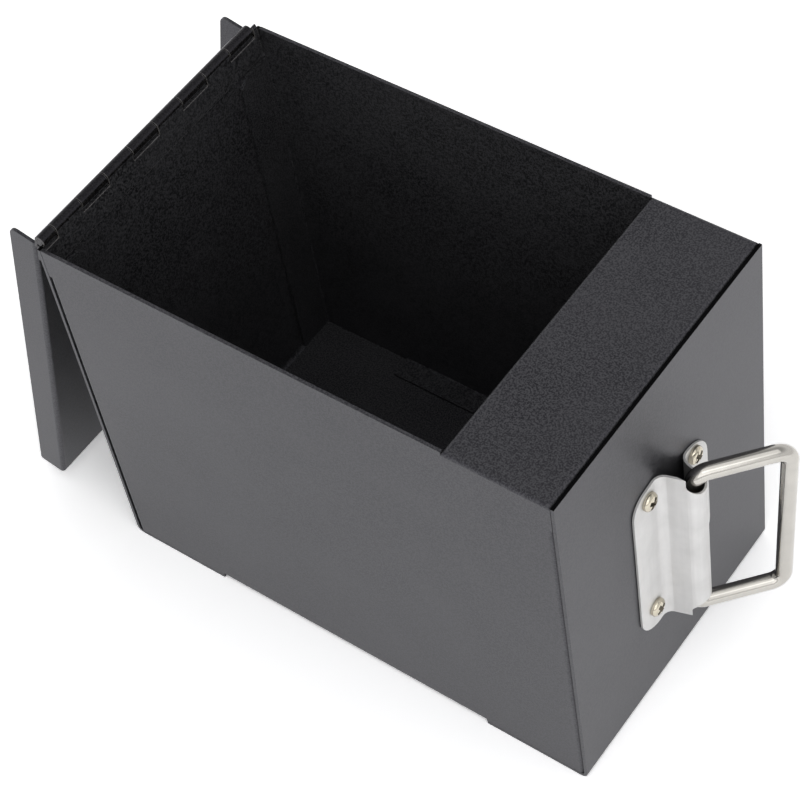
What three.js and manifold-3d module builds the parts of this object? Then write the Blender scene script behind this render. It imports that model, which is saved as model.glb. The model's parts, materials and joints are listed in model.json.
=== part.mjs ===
// Removable sheet-steel cash box of an under-counter safe, with a hinged lid and a bail handle.
// Millimetres, +Z up. X runs from the hinge end to the handle end, Y from the near side to the
// far side, and the origin is the middle of the floor's underside.
// The lid is shown folded right back over the hinge end, and the bail swung out to one side.

import * as THREE from 'three';
import { mergeVertices } from 'three/addons/utils/BufferGeometryUtils.js';
import Module from 'manifold-3d';

const wasm = await Module();
wasm.setup();

// Box body, all outside sizes
const LENGTH = 196;
const WIDTH = 115;
const HEIGHT = 156;
const SHEET = 1.2;
const PAINT_GAP = 0.2;
const WRAP_BEND = 3;
const FOLD_BEND = 1.6;
const HANDLE_WALL_DROP = 0.8;

// Fixed strip over the handle end, and the flanges that stiffen the sides
const STRIP_WIDTH = 39.5;
const STRIP_FLANGE = 10;
const LIP_WIDTH = 16;
const LIP_CHAMFER = 3.2;
const LIP_DROP = 12.3;
const FLOOR_FLANGE_WIDTH = 10;
const FLOOR_FLANGE_INSET = 40.5;
const FLOOR_NOTCH_DEPTH = 1.8;

// Lid, a shallow tray that drops in between the sides and closes level with the strip
const LID_SIDE_GAP = 1;
const LID_END_GAP = 1;
const LID_DEPTH = 11.1;
const LID_END_DEPTH = 12.1;
const LID_BEND = 1.7;
const LID_CORNER = 2.5;
const LID_TIP_CORNER = 1;
const LID_SETBACK = 4.6;
const LID_OPEN_DEG = 257.3;

// Piano hinge
const PIN_RADIUS = 0.9;
const PIN_CLEARANCE = 0.1;
const LEAF_SHEET = 1;
const LEAF_WIDTH = 12.5;
const FIRST_KNUCKLE = 6.3;
const KNUCKLE_PITCH = 12.8;
const KNUCKLE_GAP = 0.3;
const HINGE_NEAR_GAP = 0.3;
const HINGE_FAR_GAP = 1.6;
const BARREL_CLEARANCE = 0.4;
const SLOT_CLEARANCE = 1;
const STUB_CURL_DEG = 55;

// Bail, a round rod bent into a rectangle
const ROD_RADIUS = 2.9;
const BAIL_HEIGHT = 70.4;
const BAIL_REACH = 31.4;
const BAIL_BEND = 4.8;
const BAIL_BUTT_GAP = 0.6;
const BAIL_SWING_DEG = 49.5;
const BAIL_DROOP_DEG = 1.8;
const BAIL_SLACK = 0.6;

// Handle plate, with a round channel that traps the bail. Its near half is the taller one.
const PLATE_SHEET = 0.8;
const PLATE_WIDTH = 42.2;
const PLATE_BOTTOM = 36.4;
const PLATE_TAIL_DROP = 8.6;
const PLATE_EDGE_SLOPE = 1.1;
const PLATE_EAR_RISE = 7.9;
const CHANNEL_RADIUS = 4.8;
const CHANNEL_FILLET = 3.4;
const CHANNEL_STAND_OFF = 8.6;
const RISER_DEG = 75;
const TOP_CORNER = 7.8;
const BOTTOM_CORNER = 10.3;
const FAR_CORNER = 11.7;
const NOTCH_NEAR = 4.7;
const NOTCH_CORNER = 4.4;
const LEG_CLEARANCE = 1.1;
const LEG_HEADROOM = 3.1;

// Screws and nuts that hold the handle plate
const SCREW_RADIUS = 1.75;
const SCREW_HOLE_CLEARANCE = 0.15;
const SCREW_HEAD_RADIUS = 3.4;
const SCREW_HEAD_HEIGHT = 2.3;
const SCREW_TIP_LENGTH = 1.2;
const RECESS_WIDTH = 0.9;
const RECESS_REACH = 1.9;
const RECESS_DEPTH = 1.2;
const SCREW_SPACING = 26.2;
const NEAR_SCREW_RISE = 11.1;
const NEAR_SCREW_DROP = 6.3;
const FAR_SCREW_INSET = 5;
const NUT_FLATS = 6;
const NUT_HEIGHT = 2.8;
const NUT_CHAMFER = 0.35;

const BEND_STEPS = 4;
const ROUND_STEPS = 24;
const QUARTER = Math.PI / 2;

// Heights and places that follow from the sizes above
const barrelRadius = PIN_RADIUS + PIN_CLEARANCE + LEAF_SHEET;
const hingeX = SHEET + PAINT_GAP + LEAF_SHEET - barrelRadius;
const hingeZ = HEIGHT + PAINT_GAP + barrelRadius;
const shellStart = SHEET + PAINT_GAP;
const shellEnd = LENGTH - SHEET - PAINT_GAP;
const shellFloor = SHEET + PAINT_GAP;
const stripStart = LENGTH - STRIP_WIDTH;
const middleY = WIDTH / 2;
const lidSideStart = SHEET + LID_SIDE_GAP;
const lidSideEnd = WIDTH - SHEET - LID_SIDE_GAP;
const channelBottom = PLATE_BOTTOM + PLATE_TAIL_DROP;
const bailZ = channelBottom - LEG_HEADROOM - ROD_RADIUS + BAIL_HEIGHT / 2;
const legDrop = (CHANNEL_RADIUS + BAIL_SLACK) * Math.sin(THREE.MathUtils.degToRad(BAIL_DROOP_DEG));
const channelTop = bailZ + BAIL_HEIGHT / 2 - ROD_RADIUS - LEG_CLEARANCE - legDrop;
const plateTop = channelTop + PLATE_EAR_RISE;

const paint = new THREE.MeshStandardMaterial({ color: 0x47474b, roughness: 0.55, metalness: 0.1 });
const hingePaint = new THREE.MeshStandardMaterial({ color: 0x1c1b1b, roughness: 0.5, metalness: 0.2 });
const nickel = new THREE.MeshStandardMaterial({ color: 0xc9c6be, roughness: 0.3, metalness: 1 });
const zinc = new THREE.MeshStandardMaterial({ color: 0xbdb9ac, roughness: 0.35, metalness: 1 });

function arc(centreU, centreV, radius, from, to, steps = BEND_STEPS) {
  const points = [];
  for (let i = 0; i <= steps; i += 1) {
    const angle = from + ((to - from) * i) / steps;
    points.push([centreU + radius * Math.cos(angle), centreV + radius * Math.sin(angle)]);
  }
  return points;
}

function shapeOf(points) {
  const corners = points.map(([u, v]) => new THREE.Vector2(u, v));
  const kept = corners.filter((p, i) => p.distanceTo(corners[(i + 1) % corners.length]) > 1e-6);
  return new THREE.Shape(kept);
}

function rectangle(u0, u1, v0, v1) {
  return shapeOf([[u0, v0], [u1, v0], [u1, v1], [u0, v1]]);
}

// Outline of a folded sheet. The path is the face outside the folds, and every fold is square.
function foldedSheet(path, thickness, bend) {
  const outer = [path[0]];
  const inner = [];
  const heading = path.slice(1).map(([u, v], i) => {
    const length = Math.hypot(u - path[i][0], v - path[i][1]);
    return [(u - path[i][0]) / length, (v - path[i][1]) / length];
  });
  const turn = Math.sign(heading[0][0] * heading[1][1] - heading[0][1] * heading[1][0]);
  const inward = ([u, v]) => [-v * turn * thickness, u * turn * thickness];
  inner.push([path[0][0] + inward(heading[0])[0], path[0][1] + inward(heading[0])[1]]);
  for (let i = 1; i < path.length - 1; i += 1) {
    const [before, after] = [heading[i - 1], heading[i]];
    const centreU = path[i][0] + (after[0] - before[0]) * bend;
    const centreV = path[i][1] + (after[1] - before[1]) * bend;
    const from = Math.atan2(-after[1], -after[0]);
    outer.push(...arc(centreU, centreV, bend, from, from + turn * QUARTER));
    inner.push(...arc(centreU, centreV, bend - thickness, from, from + turn * QUARTER));
  }
  const end = path[path.length - 1];
  const last = inward(heading[heading.length - 1]);
  outer.push(end);
  inner.push([end[0] + last[0], end[1] + last[1]]);
  return shapeOf([...outer, ...inner.reverse()]);
}

function solidOf(geometry) {
  geometry.deleteAttribute('normal');
  geometry.deleteAttribute('uv');
  const merged = mergeVertices(geometry);
  return new wasm.Manifold(new wasm.Mesh({
    numProp: 3,
    vertProperties: new Float32Array(merged.attributes.position.array),
    triVerts: new Uint32Array(merged.index.array),
  }));
}

function extrude(shape, depth) {
  return new THREE.ExtrudeGeometry(shape, { depth, bevelEnabled: false, curveSegments: ROUND_STEPS / 2 });
}

// A shape drawn in Y and Z, swept along X
function alongX(shape, x0, x1) {
  const turn = new THREE.Matrix4().makeBasis(
    new THREE.Vector3(0, 1, 0),
    new THREE.Vector3(0, 0, 1),
    new THREE.Vector3(1, 0, 0),
  );
  return solidOf(extrude(shape, x1 - x0).applyMatrix4(turn).translate(x0, 0, 0));
}

// A shape drawn in X and Z, swept along Y
function alongY(shape, y0, y1) {
  const turn = new THREE.Matrix4().makeBasis(
    new THREE.Vector3(1, 0, 0),
    new THREE.Vector3(0, 0, 1),
    new THREE.Vector3(0, -1, 0),
  );
  return solidOf(extrude(shape, y1 - y0).applyMatrix4(turn).translate(0, y1, 0));
}

// A shape drawn in X and Y, swept along Z
function alongZ(shape, z0, z1) {
  return solidOf(extrude(shape, z1 - z0).translate(0, 0, z0));
}

function box(x0, x1, y0, y1, z0, z1) {
  const geometry = new THREE.BoxGeometry(x1 - x0, y1 - y0, z1 - z0);
  return solidOf(geometry.translate((x0 + x1) / 2, (y0 + y1) / 2, (z0 + z1) / 2));
}

function rodAlongX(radius, x0, x1, y, z) {
  const geometry = new THREE.CylinderGeometry(radius, radius, x1 - x0, ROUND_STEPS);
  return solidOf(geometry.rotateZ(-QUARTER).translate((x0 + x1) / 2, y, z));
}

function join(solids) {
  return solids.reduce((whole, solid) => whole.add(solid));
}

function meshOf(name, solid, material) {
  const { vertProperties, triVerts } = solid.getMesh();
  const geometry = new THREE.BufferGeometry();
  geometry.setAttribute('position', new THREE.BufferAttribute(new Float32Array(vertProperties), 3));
  geometry.setIndex(new THREE.BufferAttribute(new Uint32Array(triVerts), 1));
  geometry.computeVertexNormals();
  const mesh = new THREE.Mesh(geometry, material.clone());
  mesh.name = name;
  return mesh;
}

// A rectangle open to a cut below, with its two upper corners rounded
function roundedTop(u0, u1, low, top, radius0, radius1) {
  const corner0 = radius0 > 0 ? arc(u0 + radius0, top - radius0, radius0, 2 * QUARTER, QUARTER) : [[u0, top]];
  const corner1 = radius1 > 0 ? arc(u1 - radius1, top - radius1, radius1, QUARTER, 0) : [[u1, top]];
  return shapeOf([[u0, low], ...corner0, ...corner1, [u1, low]].reverse());
}

// A sheet folded down on three sides, and on its start as well where startFolded is true
function pan({ x0, x1, y0, y1, top, depth, startFolded, bend }) {
  const block = (inset, start, startBend, low) => {
    const radius = bend - inset;
    const across = roundedTop(y0 + inset, y1 - inset, low, top - inset, radius, radius);
    const along = roundedTop(start, x1 - inset, low, top - inset, startBend, radius);
    return alongX(across, x0 - 2, x1 + 2).intersect(alongY(along, y0 - 2, y1 + 2));
  };
  const outside = block(0, x0, startFolded ? bend : 0, top - depth);
  const inside = startFolded
    ? block(SHEET, x0 + SHEET, bend - SHEET, top - depth - 1)
    : block(SHEET, x0 - 1, 0, top - depth - 1);
  return outside.subtract(inside);
}

// Screw centres on the handle wall, near pair first
const screwPlaces = [
  { y: middleY - SCREW_SPACING / 2, z: PLATE_BOTTOM + NEAR_SCREW_RISE },
  { y: middleY - SCREW_SPACING / 2, z: plateTop - NEAR_SCREW_DROP },
  { y: middleY + SCREW_SPACING / 2, z: channelBottom + FAR_SCREW_INSET },
  { y: middleY + SCREW_SPACING / 2, z: channelTop - FAR_SCREW_INSET },
];

function cutScrewHoles(solid, x0, x1) {
  const radius = SCREW_RADIUS + SCREW_HOLE_CLEARANCE;
  return screwPlaces.reduce((rest, { y, z }) => rest.subtract(rodAlongX(radius, x0, x1, y, z)), solid);
}

// Floor, hinge wall and handle wall: one sheet, outside the flanges of the side shell
function floorAndEndWalls() {
  const hingeWallTop = hingeZ - barrelRadius - BARREL_CLEARANCE;
  const handleWallTop = HEIGHT - HANDLE_WALL_DROP;
  const path = [[0, hingeWallTop], [0, 0], [LENGTH, 0], [LENGTH, handleWallTop]];
  const wrap = alongY(foldedSheet(path, SHEET, WRAP_BEND), 0, WIDTH);
  const notchStart = FLOOR_FLANGE_INSET;
  const notchEnd = LENGTH - FLOOR_FLANGE_INSET;
  const nearNotch = box(notchStart, notchEnd, -1, FLOOR_NOTCH_DEPTH, -1, SHEET + 1);
  const farNotch = box(notchStart, notchEnd, WIDTH - FLOOR_NOTCH_DEPTH, WIDTH + 1, -1, SHEET + 1);
  const notched = wrap.subtract(nearNotch).subtract(farNotch);
  return cutScrewHoles(notched, LENGTH - SHEET - 1, LENGTH + 1);
}

// The near side with its end flanges and floor flange, before the strip is joined on
function nearSide() {
  const lipTop = HEIGHT - LIP_DROP;
  const ends = [[shellStart, LIP_WIDTH], [shellStart, 0], [shellEnd, 0], [shellEnd, LIP_WIDTH]];
  const flanged = alongZ(foldedSheet(ends, SHEET, FOLD_BEND), shellFloor, lipTop);
  const chamfer = shapeOf([
    [LIP_WIDTH - LIP_CHAMFER, lipTop],
    [LIP_WIDTH + 1, lipTop + 1],
    [LIP_WIDTH + 1, lipTop - LIP_CHAMFER - 1],
    [LIP_WIDTH, lipTop - LIP_CHAMFER],
  ]);
  const flangeStart = FLOOR_FLANGE_INSET + PAINT_GAP;
  const flangeEnd = LENGTH - FLOOR_FLANGE_INSET - PAINT_GAP;
  const edgeRound = box(flangeStart, flangeEnd, -1, SHEET, 0, shellFloor + FOLD_BEND);
  const flangePath = [[0, lipTop], [0, shellFloor], [FLOOR_FLANGE_WIDTH, shellFloor]];
  const floorFlange = alongX(foldedSheet(flangePath, SHEET, FOLD_BEND), flangeStart, flangeEnd);
  const panelFloor = shellFloor + 2 * FOLD_BEND;
  const panel = box(shellStart + FOLD_BEND, shellEnd - FOLD_BEND, 0, SHEET, panelFloor, HEIGHT - FOLD_BEND);
  const openEdge = box(shellStart, stripStart + FOLD_BEND, 0, SHEET, lipTop, HEIGHT);
  const stripEdge = box(stripStart, shellEnd, 0, SHEET, lipTop, HEIGHT - FOLD_BEND);
  const openTop = box(stripStart, shellEnd, -1, SHEET + 1, HEIGHT - FOLD_BEND, HEIGHT + 1);
  return join([flanged.subtract(edgeRound), floorFlange, panel, openEdge.subtract(openTop), stripEdge])
    .subtract(alongX(chamfer, 0, LIP_WIDTH));
}

// Both sides and the strip: one folded sheet that stands inside the floor and end walls
function sideShell() {
  const near = nearSide();
  const far = near.mirror([0, 1, 0]).translate([0, WIDTH, 0]);
  const strip = pan({
    x0: stripStart,
    x1: shellEnd,
    y0: 0,
    y1: WIDTH,
    top: HEIGHT,
    depth: STRIP_FLANGE,
    startFolded: true,
    bend: FOLD_BEND,
  });
  const corner = WRAP_BEND - SHEET - PAINT_GAP;
  const inside = shapeOf([
    ...arc(shellStart + corner, shellFloor + corner, corner, 2 * QUARTER, 3 * QUARTER),
    ...arc(shellEnd - corner, shellFloor + corner, corner, 3 * QUARTER, 4 * QUARTER),
    [shellEnd, HEIGHT],
    [shellStart, HEIGHT],
  ]);
  return join([near, far, strip]).intersect(alongY(inside, 0, WIDTH));
}

// The lid is drawn closed, with the hinge axis as its origin
function lidTray() {
  const top = HEIGHT - hingeZ;
  const x1 = stripStart - LID_END_GAP - hingeX;
  const tray = pan({
    x0: LID_SETBACK,
    x1,
    y0: lidSideStart,
    y1: lidSideEnd,
    top,
    depth: LID_END_DEPTH,
    startFolded: false,
    bend: LID_BEND,
  });
  const low = top - LID_DEPTH;
  const sideOutline = shapeOf([
    [LID_SETBACK, top + 1],
    ...arc(LID_SETBACK + LID_CORNER, low + LID_CORNER, LID_CORNER, 2 * QUARTER, 3 * QUARTER),
    ...arc(x1 - LID_TIP_CORNER, low + LID_TIP_CORNER, LID_TIP_CORNER, 3 * QUARTER, 4 * QUARTER),
    [x1, top + 1],
  ]);
  const endFlange = rectangle(x1 - SHEET, x1, top - LID_END_DEPTH, top - LID_BEND);
  return tray.intersect(join([
    alongY(sideOutline, lidSideStart - 1, lidSideEnd + 1),
    alongY(endFlange, lidSideStart + LID_BEND, lidSideEnd - LID_BEND),
  ]));
}

// Places of the knuckles along the hinge: a short one first, then whole ones, then a cut stub
const hingeStart = SHEET + HINGE_NEAR_GAP;
const hingeEnd = WIDTH - SHEET - HINGE_FAR_GAP;
const wholeKnuckles = Math.floor((hingeEnd - hingeStart - FIRST_KNUCKLE) / KNUCKLE_PITCH);
const barrelEnd = hingeStart + FIRST_KNUCKLE + wholeKnuckles * KNUCKLE_PITCH;
const knuckles = [{ start: hingeStart, end: hingeStart + FIRST_KNUCKLE - KNUCKLE_GAP, onLid: true }];
for (let i = 1; i <= wholeKnuckles; i += 1) {
  const end = hingeStart + FIRST_KNUCKLE + i * KNUCKLE_PITCH - KNUCKLE_GAP;
  knuckles.push({ start: end + KNUCKLE_GAP - KNUCKLE_PITCH, end, onLid: i % 2 === 0 });
}

// Section of a knuckle, rolled on from the top of a leaf whose outer face is at the barrel's side
function rolledSection(root) {
  const inside = barrelRadius - LEAF_SHEET;
  const rollEnd = 4 * QUARTER - Math.acos(inside / barrelRadius);
  const roll = arc(0, 0, barrelRadius, 0, rollEnd, ROUND_STEPS);
  const section = shapeOf([[barrelRadius, -root], ...roll, [inside, -root]]);
  const bore = new THREE.Path();
  bore.absarc(0, 0, inside, 0, 4 * QUARTER);
  section.holes.push(bore);
  return section;
}

// Section of the stub that is left past the last whole knuckle, only partly rolled
function stubSection(root) {
  const inside = barrelRadius - LEAF_SHEET;
  const curl = THREE.MathUtils.degToRad(STUB_CURL_DEG);
  const [outer, inner] = [arc(0, 0, barrelRadius, 0, curl), arc(0, 0, inside, curl, 0)];
  return shapeOf([[barrelRadius, -root], ...outer, ...inner, [inside, -root]]);
}

// Hinge leaf about its axis, hanging down from the barrel's +X side
function hingeLeaf(onLid, leafStart, leafEnd) {
  const root = barrelRadius + SLOT_CLEARANCE;
  const flat = rectangle(barrelRadius - LEAF_SHEET, barrelRadius, -LEAF_WIDTH, -root);
  const plate = alongY(flat, leafStart, leafEnd);
  const section = rolledSection(root + LEAF_SHEET);
  const rolls = knuckles.filter((knuckle) => knuckle.onLid === onLid)
    .map(({ start, end }) => alongY(section, start, end));
  const stubOnLid = wholeKnuckles % 2 === 1;
  if (stubOnLid === onLid) rolls.push(alongY(stubSection(root + LEAF_SHEET), barrelEnd, hingeEnd));
  return join([plate, ...rolls]);
}

function hingePin() {
  const length = barrelEnd - KNUCKLE_GAP - hingeStart;
  const geometry = new THREE.CylinderGeometry(PIN_RADIUS, PIN_RADIUS, length, ROUND_STEPS);
  return solidOf(geometry.translate(0, hingeStart + length / 2, 0));
}

// Section of the handle plate in X and Y, about the channel's centre line on the wall face.
// On each side the crown runs on as a straight riser, and the riser meets the flange in a fillet.
function plateSection() {
  const half = PLATE_WIDTH / 2;
  const front = PAINT_GAP + PLATE_SHEET;
  const riser = THREE.MathUtils.degToRad(RISER_DEG);
  const filletX = front + CHANNEL_FILLET;
  const bends = CHANNEL_RADIUS + CHANNEL_FILLET;
  const riserLength = (CHANNEL_STAND_OFF - filletX + bends * Math.cos(riser)) / Math.sin(riser);
  const filletY = bends * Math.sin(riser) + riserLength * Math.cos(riser);
  const face = (flangeX, crownRadius, filletRadius) => {
    const fillet = arc(filletX, filletY, filletRadius, 2 * QUARTER + riser, 2 * QUARTER);
    const farSide = [...fillet, [flangeX, half]];
    const nearSide = farSide.map(([x, y]) => [x, -y]).reverse();
    return [...nearSide, ...arc(CHANNEL_STAND_OFF, 0, crownRadius, -riser, riser, ROUND_STEPS / 2), ...farSide];
  };
  const outer = face(front, CHANNEL_RADIUS, CHANNEL_FILLET);
  const inner = face(PAINT_GAP, CHANNEL_RADIUS - PLATE_SHEET, CHANNEL_FILLET + PLATE_SHEET);
  return shapeOf([...outer, ...inner.reverse()]);
}

// Outline of the handle plate in Y and Z. It is notched at both ends of the channel's far half,
// where the bail's legs leave it, and the ends of the near half slope up towards the notches.
function plateOutline() {
  const near = -PLATE_WIDTH / 2;
  const far = PLATE_WIDTH / 2;
  const notchY = NOTCH_CORNER - NOTCH_NEAR;
  const nearTop = plateTop - PLATE_EDGE_SLOPE;
  const corner = (y, z, radius, quarter) => (
    arc(y, z, radius, quarter * QUARTER, (quarter + 1) * QUARTER, ROUND_STEPS / 3)
  );
  const notch = (z, quarter) => corner(notchY, z, NOTCH_CORNER, quarter).reverse();
  return shapeOf([
    ...corner(near + BOTTOM_CORNER, PLATE_BOTTOM + BOTTOM_CORNER, BOTTOM_CORNER, 2),
    [-NOTCH_NEAR, PLATE_BOTTOM + PLATE_EDGE_SLOPE],
    ...notch(channelBottom - NOTCH_CORNER, 1),
    ...corner(far - FAR_CORNER, channelBottom + FAR_CORNER, FAR_CORNER, 3),
    ...corner(far - FAR_CORNER, channelTop - FAR_CORNER, FAR_CORNER, 0),
    ...notch(channelTop + NOTCH_CORNER, 2),
    [-NOTCH_NEAR, plateTop],
    ...corner(near + TOP_CORNER, nearTop - TOP_CORNER, TOP_CORNER, 1),
  ]);
}

function handlePlate() {
  const reach = CHANNEL_STAND_OFF + CHANNEL_RADIUS + 1;
  const section = alongZ(plateSection(), PLATE_BOTTOM - 1, plateTop + 1);
  const blank = section.intersect(alongX(plateOutline(), -1, reach));
  return cutScrewHoles(blank.translate([LENGTH, middleY, 0]), LENGTH - 1, LENGTH + reach);
}

// Centre line of a bent rod, with its stations spaced closely round each bend
class BentRod extends THREE.Curve {
  constructor(stations) {
    super();
    this.stations = stations;
  }

  getPoint(t, target = new THREE.Vector3()) {
    const place = Math.min(Math.max(t, 0), 1) * (this.stations.length - 1);
    const index = Math.min(Math.floor(place), this.stations.length - 2);
    return target.lerpVectors(this.stations[index], this.stations[index + 1], place - index);
  }

  getUtoTmapping(u) {
    return u;
  }
}

// The bail is drawn in X and Z, with its pivot rod on the Z axis
function bail() {
  const half = BAIL_HEIGHT / 2;
  const near = BAIL_BEND;
  const reach = BAIL_REACH - BAIL_BEND;
  const line = [
    [0, BAIL_BUTT_GAP / 2],
    ...arc(near, half - BAIL_BEND, BAIL_BEND, 2 * QUARTER, QUARTER, BEND_STEPS + 2),
    ...arc(reach, half - BAIL_BEND, BAIL_BEND, QUARTER, 0, BEND_STEPS + 2),
    ...arc(reach, BAIL_BEND - half, BAIL_BEND, 0, -QUARTER, BEND_STEPS + 2),
    ...arc(near, BAIL_BEND - half, BAIL_BEND, -QUARTER, -2 * QUARTER, BEND_STEPS + 2),
    [0, -BAIL_BUTT_GAP / 2],
  ];
  const stations = line.map(([x, z]) => new THREE.Vector3(x, 0, z));
  const section = shapeOf(arc(0, 0, ROD_RADIUS, 0, 4 * QUARTER, ROUND_STEPS / 2 + 4).slice(1));
  const path = new BentRod(stations);
  const geometry = new THREE.ExtrudeGeometry(section, { steps: stations.length - 1, extrudePath: path });
  return solidOf(geometry);
}

// A pan-head screw with a cross recess, along +X from the back of its head
function screw() {
  const back = PAINT_GAP + PLATE_SHEET;
  const tip = -(SHEET + NUT_HEIGHT + PAINT_GAP + SCREW_TIP_LENGTH);
  const seat = back + PAINT_GAP / 2;
  const crown = seat + SCREW_HEAD_HEIGHT;
  const flank = seat + SCREW_HEAD_HEIGHT * 0.45;
  const dome = arc(0, flank, 1, QUARTER, 0, BEND_STEPS)
    .map(([u, v]) => [SCREW_HEAD_RADIUS * u, flank + (v - flank) * (crown - flank)]);
  const outline = [
    [0, tip],
    [SCREW_RADIUS - SCREW_TIP_LENGTH / 2, tip],
    [SCREW_RADIUS, tip + SCREW_TIP_LENGTH / 2],
    [SCREW_RADIUS, seat],
    [SCREW_HEAD_RADIUS, seat],
    ...dome.reverse(),
  ];
  const corners = outline.map(([r, h]) => new THREE.Vector2(Math.max(r, 0), h));
  corners[corners.length - 1].x = 0;
  const turned = solidOf(new THREE.LatheGeometry(corners, ROUND_STEPS).rotateZ(-QUARTER));
  const floor = crown - RECESS_DEPTH;
  const half = RECESS_WIDTH / 2;
  const upright = box(floor, crown + 1, -half, half, -RECESS_REACH, RECESS_REACH);
  const level = box(floor, crown + 1, -RECESS_REACH, RECESS_REACH, -half, half);
  return turned.subtract(upright).subtract(level);
}

// A hexagon nut along X, with its corners chamfered
function nut() {
  const corner = NUT_FLATS / Math.sqrt(3);
  const hexagon = shapeOf(arc(0, 0, corner, 0, 4 * QUARTER, 6).slice(1));
  const bore = new THREE.Path();
  bore.absarc(0, 0, SCREW_RADIUS + SCREW_HOLE_CLEARANCE, 0, 4 * QUARTER);
  hexagon.holes.push(bore);
  const chamfered = new THREE.LatheGeometry([
    new THREE.Vector2(0, 0),
    new THREE.Vector2(corner - NUT_CHAMFER, 0),
    new THREE.Vector2(corner, NUT_CHAMFER),
    new THREE.Vector2(corner, NUT_HEIGHT - NUT_CHAMFER),
    new THREE.Vector2(corner - NUT_CHAMFER, NUT_HEIGHT),
    new THREE.Vector2(0, NUT_HEIGHT),
  ], ROUND_STEPS);
  return alongX(hexagon, 0, NUT_HEIGHT).intersect(solidOf(chamfered.rotateZ(-QUARTER)));
}

const safe = new THREE.Group();
safe.position.set(-LENGTH / 2, -WIDTH / 2, 0);
safe.add(meshOf('floor_and_end_walls', floorAndEndWalls(), paint));
safe.add(meshOf('side_shell', sideShell(), paint));

const bodyLeaf = meshOf('hinge_body_leaf', hingeLeaf(false, hingeStart, hingeEnd), hingePaint);
const pin = meshOf('hinge_pin', hingePin(), hingePaint);
const hinge = new THREE.Group();
hinge.position.set(hingeX, 0, hingeZ);
hinge.add(bodyLeaf, pin);
safe.add(hinge);

const lidLeafSolid = hingeLeaf(true, lidSideStart, lidSideEnd).mirror([1, 0, 0]);
const lidLeaf = meshOf('hinge_lid_leaf', lidLeafSolid, hingePaint);
lidLeaf.rotation.y = -QUARTER;
const lid = new THREE.Group();
lid.position.set(hingeX, 0, hingeZ);
lid.rotation.y = -THREE.MathUtils.degToRad(LID_OPEN_DEG);
lid.add(meshOf('lid_tray', lidTray(), paint), lidLeaf);
safe.add(lid);

safe.add(meshOf('handle_plate', handlePlate(), nickel));

const bailMesh = meshOf('handle_bail', bail(), nickel);
bailMesh.rotation.y = THREE.MathUtils.degToRad(BAIL_DROOP_DEG);
const bailPivot = new THREE.Group();
bailPivot.position.set(LENGTH + CHANNEL_STAND_OFF - BAIL_SLACK, middleY, bailZ);
bailPivot.rotation.z = THREE.MathUtils.degToRad(BAIL_SWING_DEG);
bailPivot.add(bailMesh);
safe.add(bailPivot);

screwPlaces.forEach(({ y, z }, i) => {
  const screwMesh = meshOf(`handle_screw_${i + 1}`, screw(), zinc);
  screwMesh.position.set(LENGTH, y, z);
  const nutMesh = meshOf(`handle_nut_${i + 1}`, nut(), zinc);
  nutMesh.position.set(LENGTH - SHEET - PAINT_GAP / 2 - NUT_HEIGHT, y, z);
  safe.add(screwMesh, nutMesh);
});

export default safe;
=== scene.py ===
"""A powder-coated cash box with its lid folded back, on a pale studio floor."""

import json
import math

import bmesh
import bpy
from mathutils import Matrix, Vector

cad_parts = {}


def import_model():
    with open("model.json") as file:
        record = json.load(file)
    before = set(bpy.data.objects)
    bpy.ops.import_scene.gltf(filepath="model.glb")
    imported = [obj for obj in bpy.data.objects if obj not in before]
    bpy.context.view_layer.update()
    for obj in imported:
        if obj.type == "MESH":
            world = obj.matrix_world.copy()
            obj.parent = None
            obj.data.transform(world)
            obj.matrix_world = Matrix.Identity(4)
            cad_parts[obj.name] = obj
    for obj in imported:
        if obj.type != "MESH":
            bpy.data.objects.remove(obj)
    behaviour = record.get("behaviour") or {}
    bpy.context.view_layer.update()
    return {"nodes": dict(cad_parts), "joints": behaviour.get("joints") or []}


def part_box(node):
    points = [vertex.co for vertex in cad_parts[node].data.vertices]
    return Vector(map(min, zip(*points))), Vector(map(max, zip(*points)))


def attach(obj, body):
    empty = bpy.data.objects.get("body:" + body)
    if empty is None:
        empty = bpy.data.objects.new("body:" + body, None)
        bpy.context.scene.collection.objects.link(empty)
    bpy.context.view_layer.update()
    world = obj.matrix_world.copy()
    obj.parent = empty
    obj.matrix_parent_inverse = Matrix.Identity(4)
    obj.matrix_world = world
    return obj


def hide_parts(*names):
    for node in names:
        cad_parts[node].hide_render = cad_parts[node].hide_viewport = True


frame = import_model()
scene = bpy.context.scene
MM = 0.001

# Camera: where it stands, what it looks at, and how it is turned about its line of sight
CAMERA_PLACE = Vector((0.3525, -0.3659, 0.7221))
CAMERA_AIM = Vector((0.0071, 0.0109, 0.0700))
CAMERA_ROLL_DEG = 9.65
SENSOR_MM = 36.0
LENS_MM = 110.3
CAMERA_SHIFT = -0.075

# Sizes shared with the solids
ROD_RADIUS = 2.9 * MM
BAIL_HEIGHT = 70.4 * MM
BAIL_REACH = 31.4 * MM
BAIL_BEND = 4.8 * MM
BAIL_BUTT_GAP = 0.6 * MM
BAIL_SWING = math.radians(49.5)
BAIL_DROOP = math.radians(1.8)
SCREW_HEAD_RADIUS = 3.4 * MM
SCREW_HEAD_HEIGHT = 2.3 * MM
SCREW_SHANK_RADIUS = 1.75 * MM
BARREL_RADIUS = 2.0 * MM

# Detail of the screws: how square the head's dome is, the thread's rings and the cross recess
DOME_POWER = 0.55
DOME_FOOT = 0.3
THREAD_PITCH = 0.7 * MM
THREAD_DEPTH = 0.22 * MM
THREAD_START = 0.6 * MM
RECESS_DEPTH = 1.6 * MM
RECESS_OVERSHOOT = 1.0 * MM
RECESS_SKIN = 0.1 * MM
SCREW_TURNS_DEG = (24, 51, 8, 37)

# Rounding of the cut edges
PAINTED_EDGE = 0.28 * MM
WALL_EDGE = 0.58 * MM
HINGE_EDGE = 0.18 * MM
THIN_EDGE = 0.16 * MM

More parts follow.
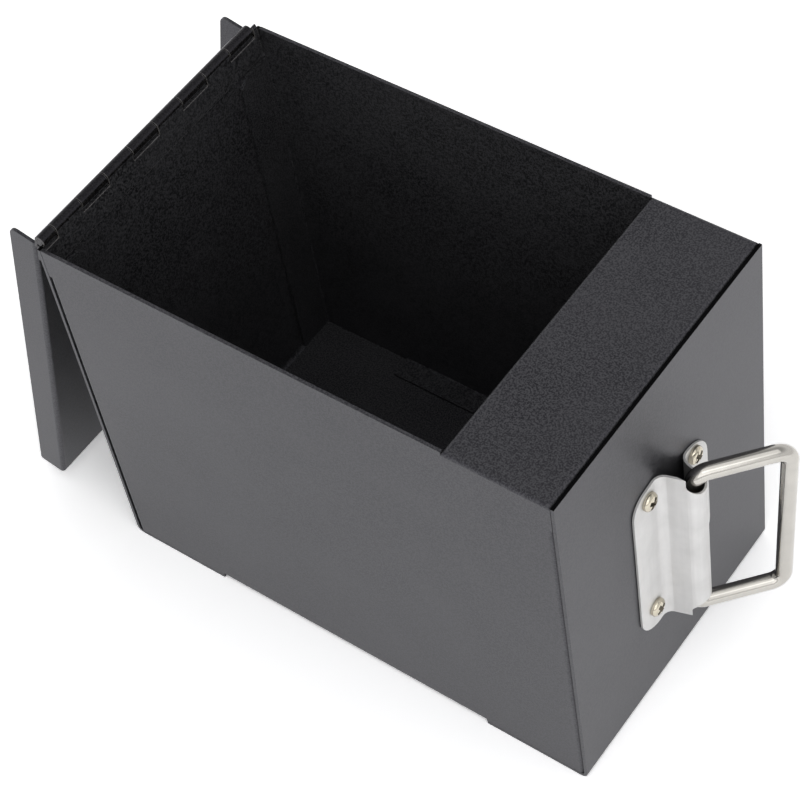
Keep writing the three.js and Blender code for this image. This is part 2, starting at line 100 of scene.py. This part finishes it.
# An edge bent by more than the sharp angle is rounded, faces bent by less than the flat angle are
# joined, and points closer than the weld distance are welded
SHARP_ANGLE = math.radians(35)
FLAT_ANGLE = math.radians(1.5)
WELD_DISTANCE = 0.002 * MM

# Fineness of the coat's grain, orange peel and paler patches, in features per metre
COAT_GRAIN = 1700.0
COAT_PEEL = 520.0
COAT_PATCHES = 34.0

# Fineness of the plating's polishing marks, clouding and scratches, in features per metre
PLATING_MARKS = 900.0
PLATING_CLOUD = 90.0
PLATING_SCRATCHES = 300.0

# The faint violet of the coat's sheen
COAT_SHEEN = (0.85, 0.83, 1.0)

# The studio: half the floor's width in metres, the shades of floor, walls and ceiling, how high
# a direction points where the white walls end and the dimmer ceiling starts, and the world's light
FLOOR_HALF = 3.0
FLOOR_SHADE = (0.8, 0.8, 0.8, 1.0)
FLOOR_LAYER = (0.8, 0.8, 0.804, 1.0)
WALL_WHITE = (1.0, 1.0, 1.0)
CEILING_GREY = (0.5, 0.5, 0.5)
WALL_TOP = 0.45
CEILING_START = 0.8
WORLD_LIGHT = 0.8


def node_in(tree, kind, **settings):
    node = tree.nodes.new(kind)
    for name, value in settings.items():
        setattr(node, name, value)
    return node


def new_material(name):
    material = bpy.data.materials.new(name)
    material.use_nodes = True
    tree = material.node_tree
    return material, tree, tree.nodes["Principled BSDF"]


def object_coordinates(tree):
    return node_in(tree, "ShaderNodeTexCoord").outputs["Object"]


def noise(tree, vector, scale, detail, roughness, stretch=None):
    """Noise with so many features per metre, drawn out along an axis whose stretch is small."""
    if stretch:
        mapping = node_in(tree, "ShaderNodeMapping")
        mapping.inputs["Scale"].default_value = stretch
        tree.links.new(vector, mapping.inputs["Vector"])
        vector = mapping.outputs["Vector"]
    texture = node_in(tree, "ShaderNodeTexNoise")
    texture.inputs["Scale"].default_value = scale
    texture.inputs["Detail"].default_value = detail
    texture.inputs["Roughness"].default_value = roughness
    tree.links.new(vector, texture.inputs["Vector"])
    return texture.outputs["Fac"]


def ramp(tree, value, stops):
    """A change from one colour to another, between two stops of place and colour."""
    node = node_in(tree, "ShaderNodeValToRGB")
    for element, (place, colour) in zip(node.color_ramp.elements, stops):
        element.position = place
        element.color = (*colour, 1.0)
    tree.links.new(value, node.inputs["Fac"])
    return node.outputs["Color"]


def spread(tree, value, low, high, from_low=0.3, from_high=0.7):
    """A value between from_low and from_high, turned into one between low and high."""
    node = node_in(tree, "ShaderNodeMapRange")
    node.inputs["From Min"].default_value = from_low
    node.inputs["From Max"].default_value = from_high
    node.inputs["To Min"].default_value = low
    node.inputs["To Max"].default_value = high
    tree.links.new(value, node.inputs["Value"])
    return node.outputs["Result"]


def bump(tree, height, distance, strength, under=None):
    """The surface's slope once the height has roughened it, on top of the relief under it."""
    node = node_in(tree, "ShaderNodeBump")
    node.inputs["Strength"].default_value = strength
    node.inputs["Distance"].default_value = distance
    tree.links.new(height, node.inputs["Height"])
    if under:
        tree.links.new(under, node.inputs["Normal"])
    return node.outputs["Normal"]


def mixed(tree, factor, shading, colour):
    """The shading so far, turned towards one fixed colour by the factor."""
    node = node_in(tree, "ShaderNodeMix", data_type="RGBA")
    shading_input, colour_input = [s for s in node.inputs if s.type == "RGBA"]
    tree.links.new(factor, node.inputs[0])
    tree.links.new(shading, shading_input)
    colour_input.default_value = (*colour, 1.0)
    return next(s for s in node.outputs if s.type == "RGBA")


def powder_coat(name, dark, light, roughness, grain, gloss=0.41):
    """Nearly black powder coat: a fine grain over a faint orange peel, paler in broad patches."""
    material, tree, shader = new_material(name)
    place = object_coordinates(tree)
    fine = noise(tree, place, COAT_GRAIN, 2.0, 0.6)
    peel = noise(tree, place, COAT_PEEL, 2.0, 0.5)
    cloud = noise(tree, place, COAT_PATCHES, 3.0, 0.55)
    base = ramp(tree, fine, [(0.40, dark), (0.60, light)])
    worn = mixed(tree, spread(tree, cloud, 0.0, 0.2), base, tuple(1.3 * c for c in light))
    tree.links.new(worn, shader.inputs["Base Color"])
    tree.links.new(spread(tree, fine, roughness - 0.06, roughness + 0.08), shader.inputs["Roughness"])
    relief = bump(tree, peel, 0.05 * MM, 0.35)
    tree.links.new(bump(tree, fine, 0.04 * MM, grain, relief), shader.inputs["Normal"])
    shader.inputs["Specular IOR Level"].default_value = gloss
    shader.inputs["Specular Tint"].default_value = (*COAT_SHEEN, 1.0)
    return material


def plated(name, tint, roughness, brush, relief, stretch):
    """Plated steel: fine directional polishing marks, faint clouding and a few deeper scratches."""
    material, tree, shader = new_material(name)
    place = object_coordinates(tree)
    marks = noise(tree, place, PLATING_MARKS, 4.0, 0.65, stretch)
    cloud = noise(tree, place, PLATING_CLOUD, 3.0, 0.6)
    long_stretch = tuple(0.4 * s for s in stretch)
    scratches = noise(tree, place, PLATING_SCRATCHES, 1.0, 0.4, long_stretch)
    tone = ramp(tree, cloud, [(0.3, tuple(0.9 * c for c in tint)), (0.7, tint)])
    scratched = spread(tree, scratches, 0.0, 0.2, 0.62, 0.74)
    dull = mixed(tree, scratched, tone, tuple(0.62 * c for c in tint))
    tree.links.new(dull, shader.inputs["Base Color"])
    tree.links.new(spread(tree, marks, roughness - brush, roughness + brush), shader.inputs["Roughness"])
    tree.links.new(bump(tree, marks, 0.012 * MM, relief), shader.inputs["Normal"])
    shader.inputs["Metallic"].default_value = 1.0
    return material


PAINT = powder_coat(
    "dark_grey_powder_coat", (0.003, 0.003, 0.0032), (0.048, 0.048, 0.0505), 0.38, 0.6)
# A paler coat for the rounded edges: a painted highlight along each edge of the side shell and lid
PAINT_EDGE_HIGHLIGHT = powder_coat(
    "powder_coat_with_painted_edge_highlight", (0.03, 0.03, 0.033), (0.055, 0.055, 0.059), 0.34, 0.3)
# A nearly black coat for the walls' rounded edges and cut tops: painted shade in the dark gap beside the
# top strip
WALL_EDGE_PAINTED_SHADE = powder_coat(
    "painted_shade_on_cut_edges", (0.001, 0.001, 0.001), (0.003, 0.003, 0.003), 0.6, 0.2, 0.03)
HINGE_PAINT = powder_coat(
    "black_hinge_paint", (0.002, 0.0019, 0.0018), (0.012, 0.0115, 0.011), 0.22, 0.2, 0.26)
# A paler coat for the hinge's rounded edges: a painted highlight along the knuckle and leaf edges
HINGE_EDGE_PAINTED_HIGHLIGHT = powder_coat(
    "painted_highlight_on_hinge_edges", (0.05, 0.047, 0.045), (0.11, 0.105, 0.1), 0.3, 0.2)
NICKEL = plated("satin_nickel", (0.66, 0.655, 0.65), 0.6, 0.05, 0.08, (1.0, 1.0, 0.06))
NICKEL_ROD = plated("polished_nickel_rod", (0.51, 0.492, 0.458), 0.15, 0.04, 0.2, (0.3, 0.3, 1.0))
ZINC = plated("bright_zinc", (0.56, 0.515, 0.42), 0.1, 0.05, 0.8, (1.0, 1.0, 1.0))
# A dark zinc for the inside of the cross recess: painted shade in the recess
ZINC_PAINTED_SHADE_IN_RECESS = plated("zinc_with_painted_shade_in_recess", (0.13, 0.115, 0.09), 0.4, 0.1, 0.8, (1.0, 1.0, 1.0))


def pivot_of(joint_name):
    return Vector(next(joint["pos_m"] for joint in frame["joints"] if joint["name"] == joint_name))


def place_piece(piece, node, body):
    """The piece moves with its body and stands in for its node."""
    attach(piece, body)
    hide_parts(node)
    return piece


def shade(piece):
    mesh = piece.data
    mesh.polygons.foreach_set("use_smooth", [True] * len(mesh.polygons))
    mesh.set_sharp_from_angle(angle=SHARP_ANGLE)


def object_from(bm, name, materials):
    mesh = bpy.data.meshes.new(name)
    bm.to_mesh(mesh)
    bm.free()
    piece = bpy.data.objects.new(name, mesh)
    scene.collection.objects.link(piece)
    for material in materials:
        mesh.materials.append(material)
    shade(piece)
    return piece


def clean_copy(node, name, materials):
    """The node's own shape as one welded mesh, with its flat faces whole again."""
    bm = bmesh.new()
    bm.from_mesh(frame["nodes"][node].data)
    for layer in list(bm.loops.layers.uv):
        bm.loops.layers.uv.remove(layer)
    bmesh.ops.remove_doubles(bm, verts=bm.verts, dist=WELD_DISTANCE)
    bmesh.ops.dissolve_limit(bm, angle_limit=FLAT_ANGLE, verts=bm.verts, edges=bm.edges)
    for face in bm.faces:
        face.material_index = 0
    return object_from(bm, name, materials)


def round_edges(piece, width, edge_slot):
    """Rounds the sharp edges in the material of the edge slot and keeps flat faces flat."""
    bevel = piece.modifiers.new("rounded_edges", "BEVEL")
    bevel.width = width
    bevel.segments = 3
    bevel.limit_method = "ANGLE"
    bevel.angle_limit = SHARP_ANGLE
    bevel.material = edge_slot
    bevel.harden_normals = True
    bevel.miter_outer = "MITER_ARC"
    weighted = piece.modifiers.new("flat_faces_stay_flat", "WEIGHTED_NORMAL")
    weighted.keep_sharp = True
    weighted.weight = 60


def sheet_piece(node, name, body, materials, edge):
    piece = clean_copy(node, name, materials)
    round_edges(piece, edge, len(materials) - 1)
    return place_piece(piece, node, body)


def painted_shade_on_wall_tops(piece):
    """The cut top edges of the end walls get the nearly black coat, painted shade along the gap at the
    top.
    """
    top = max(corner_point[2] for corner_point in piece.bound_box)
    lower_wall_top = top - 2 * MM
    for face in piece.data.polygons:
        looks_up = face.normal.z > 0.9
        if looks_up and face.center.z > lower_wall_top:
            face.material_index = 1


def painted_box():
    # The walls' rounded edges and cut tops get the nearly black coat, painted shade
    wall_coats = [PAINT, WALL_EDGE_PAINTED_SHADE]
    # The side shell and lid get the paler coat on their rounded edges, a painted highlight
    coats = [PAINT, PAINT_EDGE_HIGHLIGHT]
    walls = sheet_piece("floor_and_end_walls", "walls_coated", "box", wall_coats, WALL_EDGE)
    painted_shade_on_wall_tops(walls)
    sheet_piece("side_shell", "side_shell_coated", "box", coats, PAINTED_EDGE)
    sheet_piece("lid_tray", "lid_tray_coated", "lid", coats, PAINTED_EDGE)


def coat_flat_leaf(piece):
    """The flat part of a leaf has the box's coat, and its rolled barrel the black paint."""
    pivot = pivot_of("lid_hinge")
    past_barrel = BARREL_RADIUS + 0.2 * MM
    for face in piece.data.polygons:
        away = math.hypot(face.center.x - pivot.x, face.center.z - pivot.z)
        if away > past_barrel:
            face.material_index = 1


def hinge():
    # The hinge's rounded edges get the paler coat, a painted highlight
    coats = [HINGE_PAINT, PAINT, HINGE_EDGE_PAINTED_HIGHLIGHT]
    for node, body in (("hinge_body_leaf", "box"), ("hinge_lid_leaf", "lid"), ("hinge_pin", "box")):
        piece = sheet_piece(node, f"{node}_painted", body, coats, HINGE_EDGE)
        # Without this the barrels' narrow facets would thin out every rounded edge
        piece.modifiers["rounded_edges"].use_clamp_overlap = False
        coat_flat_leaf(piece)


def handle_plate():
    sheet_piece("handle_plate", "handle_plate_nickel", "box", [NICKEL], THIN_EDGE)


def corner(centre, radius, start, steps):
    """Points of a quarter turn in the plane of X and Z, turning down from the start angle."""
    turns = [start - math.pi / 2 * i / steps for i in range(steps + 1)]
    return [centre + radius * Vector((math.cos(t), 0, math.sin(t))) for t in turns]


def tube(path, radius, sides):
    """A round bar with square-cut ends, along a path in the plane of X and Z."""
    bm = bmesh.new()
    across = Vector((0, 1, 0))
    rings = []
    for i, point in enumerate(path):
        before = path[max(i - 1, 0)]
        after = path[min(i + 1, len(path) - 1)]
        out = across.cross((after - before).normalized())
        turns = [2 * math.pi * k / sides for k in range(sides)]
        around = [radius * (math.cos(t) * across + math.sin(t) * out) for t in turns]
        rings.append([bm.verts.new(point + step) for step in around])
    for first, second in zip(rings, rings[1:]):
        for k in range(sides):
            bm.faces.new((first[k], second[k], second[(k + 1) % sides], first[(k + 1) % sides]))
    bm.faces.new(rings[0])
    bm.faces.new(list(reversed(rings[-1])))
    bmesh.ops.recalc_face_normals(bm, faces=bm.faces)
    return bm


def bail():
    """The bail, bent in its own plane and turned about its pivot, as the solid is."""
    near = BAIL_BEND
    far = BAIL_REACH - BAIL_BEND
    high = BAIL_HEIGHT / 2 - BAIL_BEND
    steps = 14
    path = [
        Vector((0, 0, BAIL_BUTT_GAP / 2)),
        *corner(Vector((near, 0, high)), BAIL_BEND, math.pi, steps),
        *corner(Vector((far, 0, high)), BAIL_BEND, math.pi / 2, steps),
        *corner(Vector((far, 0, -high)), BAIL_BEND, 0, steps),
        *corner(Vector((near, 0, -high)), BAIL_BEND, -math.pi / 2, steps),
        Vector((0, 0, -BAIL_BUTT_GAP / 2)),
    ]
    bm = tube(path, ROD_RADIUS, 40)
    turn = Matrix.Rotation(BAIL_SWING, 4, "Z") @ Matrix.Rotation(BAIL_DROOP, 4, "Y")
    bm.transform(Matrix.Translation(pivot_of("bail_swing")) @ turn)
    piece = object_from(bm, "handle_bail_nickel", [NICKEL_ROD])
    place_piece(piece, "handle_bail", "bail")


def lathe(profile, steps):
    """A profile of (radius, distance along X) points, turned about X."""
    bm = bmesh.new()
    rings = []
    for radius, along in profile:
        if radius == 0:
            rings.append([bm.verts.new((along, 0, 0))])
            continue
        turns = [2 * math.pi * k / steps for k in range(steps)]
        rings.append([bm.verts.new((along, radius * math.cos(t), radius * math.sin(t))) for t in turns])
    for first, second in zip(rings, rings[1:]):
        for k in range(steps):
            n = (k + 1) % steps
            if len(first) == 1:
                bm.faces.new((first[0], second[k], second[n]))
            elif len(second) == 1:
                bm.faces.new((first[k], second[0], first[n]))
            else:
                bm.faces.new((first[k], second[k], second[n], first[n]))
    bmesh.ops.recalc_face_normals(bm, faces=bm.faces)
    return bm


def recess_cutter(crown):
    """A cross recess: four wings that narrow and draw together towards the bottom."""
    bm = bmesh.new()
    mouth = (RECESS_OVERSHOOT, 3.1 * MM, 0.95 * MM)
    bottom = (-RECESS_DEPTH, 1.2 * MM, 0.45 * MM)
    for turned in (False, True):
        corners = []
        for level, reach, half in (mouth, bottom):
            for y, z in ((-reach, -half), (reach, -half), (reach, half), (-reach, half)):
                y, z = (z, y) if turned else (y, z)
                corners.append(bm.verts.new((crown + level, y, z)))
        upper, lower = corners[:4], corners[4:]
        bm.faces.new(upper)
        bm.faces.new(lower)
        for k in range(4):
            bm.faces.new((upper[k], upper[(k + 1) % 4], lower[(k + 1) % 4], lower[k]))
    bmesh.ops.recalc_face_normals(bm, faces=bm.faces)
    return object_from(bm, "recess_cutter", [])


def thread_profile(tip, seat):
    """The shank from its tip to the head's seat, with a ring for each turn of the thread."""
    root = SCREW_SHANK_RADIUS - THREAD_DEPTH
    blunt_tip = SCREW_SHANK_RADIUS * 0.62
    profile = [(0, tip), (blunt_tip, tip)]
    along = tip + THREAD_START
    while along < seat - 2 * THREAD_PITCH:
        profile += [(root, along), (SCREW_SHANK_RADIUS, along + THREAD_PITCH / 2)]
        along += THREAD_PITCH
    return profile + [(root, along), (SCREW_SHANK_RADIUS, seat)]


def head_profile(seat, crown):
    """The head from its seat to its crown: a slightly rolled rim and a squarish dome."""
    radius = SCREW_HEAD_RADIUS
    dome_steps = 12
    foot = seat + SCREW_HEAD_HEIGHT * DOME_FOOT
    rim = seat + SCREW_HEAD_HEIGHT * 0.06
    profile = [(radius * 0.97, seat), (radius, rim)]
    for i in range(dome_steps):
        angle = math.pi / 2 * i / dome_steps
        away = radius * math.cos(angle) ** DOME_POWER
        profile.append((away, foot + (crown - foot) * math.sin(angle)))
    return profile + [(0, crown)]


def cut_recess(piece, crown):
    cutter = recess_cutter(crown)
    cut = piece.modifiers.new("recess", "BOOLEAN")
    cut.object = cutter
    cut.operation = "DIFFERENCE"
    cut.solver = "EXACT"
    cut.use_self = True
    bpy.context.view_layer.update()
    evaluated = piece.evaluated_get(bpy.context.evaluated_depsgraph_get())
    finished = bpy.data.meshes.new_from_object(evaluated)
    piece.modifiers.clear()
    piece.data = finished
    bpy.data.objects.remove(cutter)


def paint_shade_in_recess(mesh, seat, crown):
    """Faces well below the dome of the head belong to the recess and get the dark zinc, painted shade in
    the recess.
    """
    foot = seat + SCREW_HEAD_HEIGHT * DOME_FOOT
    for face in mesh.polygons:
        away = min(math.hypot(face.center.y, face.center.z) / SCREW_HEAD_RADIUS, 1.0)
        dome = foot + (crown - foot) * math.sin(math.acos(away ** (1 / DOME_POWER)))
        inside_rim = away < 0.9
        if inside_rim and foot < face.center.x < dome - RECESS_SKIN:
            face.material_index = 1


def screw(number, turn_deg):
    """A pan-head screw with a domed head, a ringed shank and a cross recess."""
    node = f"handle_screw_{number}"
    low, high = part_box(node)
    centre = (low + high) / 2
    tip = low.x
    crown = high.x
    seat = crown - SCREW_HEAD_HEIGHT
    bm = lathe(thread_profile(tip, seat) + head_profile(seat, crown), 48)
    # The second zinc darkens the recess with painted shade
    piece = object_from(bm, f"{node}_zinc", [ZINC, ZINC_PAINTED_SHADE_IN_RECESS])
    cut_recess(piece, crown)
    paint_shade_in_recess(piece.data, seat, crown)
    turn = Matrix.Rotation(math.radians(turn_deg), 4, "X")
    piece.data.transform(Matrix.Translation((0, centre.y, centre.z)) @ turn)
    shade(piece)
    place_piece(piece, node, "box")


def fasteners():
    for number, turn_deg in enumerate(SCREW_TURNS_DEG, start=1):
        screw(number, turn_deg)
        nut = f"handle_nut_{number}"
        sheet_piece(nut, f"{nut}_zinc", "box", [ZINC], THIN_EDGE)


painted_box()
hinge()
handle_plate()
bail()
fasteners()


def seen_by_eye(tree):
    """1 for the rays that show the surroundings: straight to the camera, mirrored or through glass."""
    path = node_in(tree, "ShaderNodeLightPath")
    camera_or_gloss = node_in(tree, "ShaderNodeMath", operation="MAXIMUM")
    tree.links.new(path.outputs["Is Camera Ray"], camera_or_gloss.inputs[0])
    tree.links.new(path.outputs["Is Glossy Ray"], camera_or_gloss.inputs[1])
    any_of_them = node_in(tree, "ShaderNodeMath", operation="MAXIMUM")
    tree.links.new(camera_or_gloss.outputs[0], any_of_them.inputs[0])
    tree.links.new(path.outputs["Is Transmission Ray"], any_of_them.inputs[1])
    return any_of_them.outputs[0]


def studio_floor():
    """A pale floor that shows as white and still takes the object's shadow."""
    bm = bmesh.new()
    bmesh.ops.create_grid(bm, x_segments=2, y_segments=2, size=FLOOR_HALF)
    material = bpy.data.materials.new("pale_floor")
    material.use_nodes = True
    tree = material.node_tree
    tree.nodes.remove(tree.nodes["Principled BSDF"])
    output = tree.nodes["Material Output"]
    plain = node_in(tree, "ShaderNodeBsdfDiffuse")
    plain.inputs["Color"].default_value = FLOOR_SHADE
    white = node_in(tree, "ShaderNodeAddShader")
    for socket in white.inputs[:2]:
        layer = node_in(tree, "ShaderNodeBsdfDiffuse")
        layer.inputs["Color"].default_value = FLOOR_LAYER
        tree.links.new(layer.outputs[0], socket)
    chosen = node_in(tree, "ShaderNodeMixShader")
    tree.links.new(seen_by_eye(tree), chosen.inputs[0])
    tree.links.new(plain.outputs[0], chosen.inputs[1])
    tree.links.new(white.outputs[0], chosen.inputs[2])
    tree.links.new(chosen.outputs[0], output.inputs["Surface"])
    floor = object_from(bm, "floor", [material])


def world():
    """White from the floor up to well above eye level, and a dimmer ceiling."""
    backdrop = bpy.data.worlds.new("studio")
    scene.world = backdrop
    backdrop.use_nodes = True
    tree = backdrop.node_tree
    background = tree.nodes["Background"]
    direction = node_in(tree, "ShaderNodeTexCoord").outputs["Generated"]
    height = node_in(tree, "ShaderNodeSeparateXYZ")
    tree.links.new(direction, height.inputs[0])
    stops = [(WALL_TOP, WALL_WHITE), (CEILING_START, CEILING_GREY)]
    colour = ramp(tree, height.outputs["Z"], stops)
    tree.links.new(colour, background.inputs["Color"])
    strength = spread(tree, seen_by_eye(tree), WORLD_LIGHT, 1.0, 0.0, 1.0)
    tree.links.new(strength, background.inputs["Strength"])


def area_light(name, place, aim, width, watts):
    lamp = bpy.data.lights.new(name, "AREA")
    lamp.shape = "SQUARE"
    lamp.size = width
    lamp.energy = watts
    holder = bpy.data.objects.new(name, lamp)
    scene.collection.objects.link(holder)
    holder.location = place
    sight = Vector(aim) - Vector(place)
    holder.rotation_euler = sight.to_track_quat("-Z", "Y").to_euler()


def lights():
    area_light("overhead_softbox", (0.5, -0.3, 1.6), (0, 0, 0), 1.5, 6.0)
    area_light("front_softbox", (0.8, -1.0, 1.1), (0, 0, 0.05), 1.5, 7.0)


def camera():
    lens = bpy.data.cameras.new("camera")
    lens.sensor_width = SENSOR_MM
    lens.lens = LENS_MM
    lens.shift_x = CAMERA_SHIFT
    holder = bpy.data.objects.new("camera", lens)
    scene.collection.objects.link(holder)
    sight = (CAMERA_AIM - CAMERA_PLACE).normalized()
    level = sight.cross(Vector((0, 0, 1))).normalized()
    roll = Matrix.Rotation(math.radians(CAMERA_ROLL_DEG), 3, sight)
    right = roll @ level
    up = right.cross(sight)
    turn = Matrix((right, up, -sight)).transposed()
    holder.matrix_world = Matrix.Translation(CAMERA_PLACE) @ turn.to_4x4()
    scene.camera = holder


studio_floor()
world()
lights()
camera()
scene.view_settings.view_transform = "Standard"
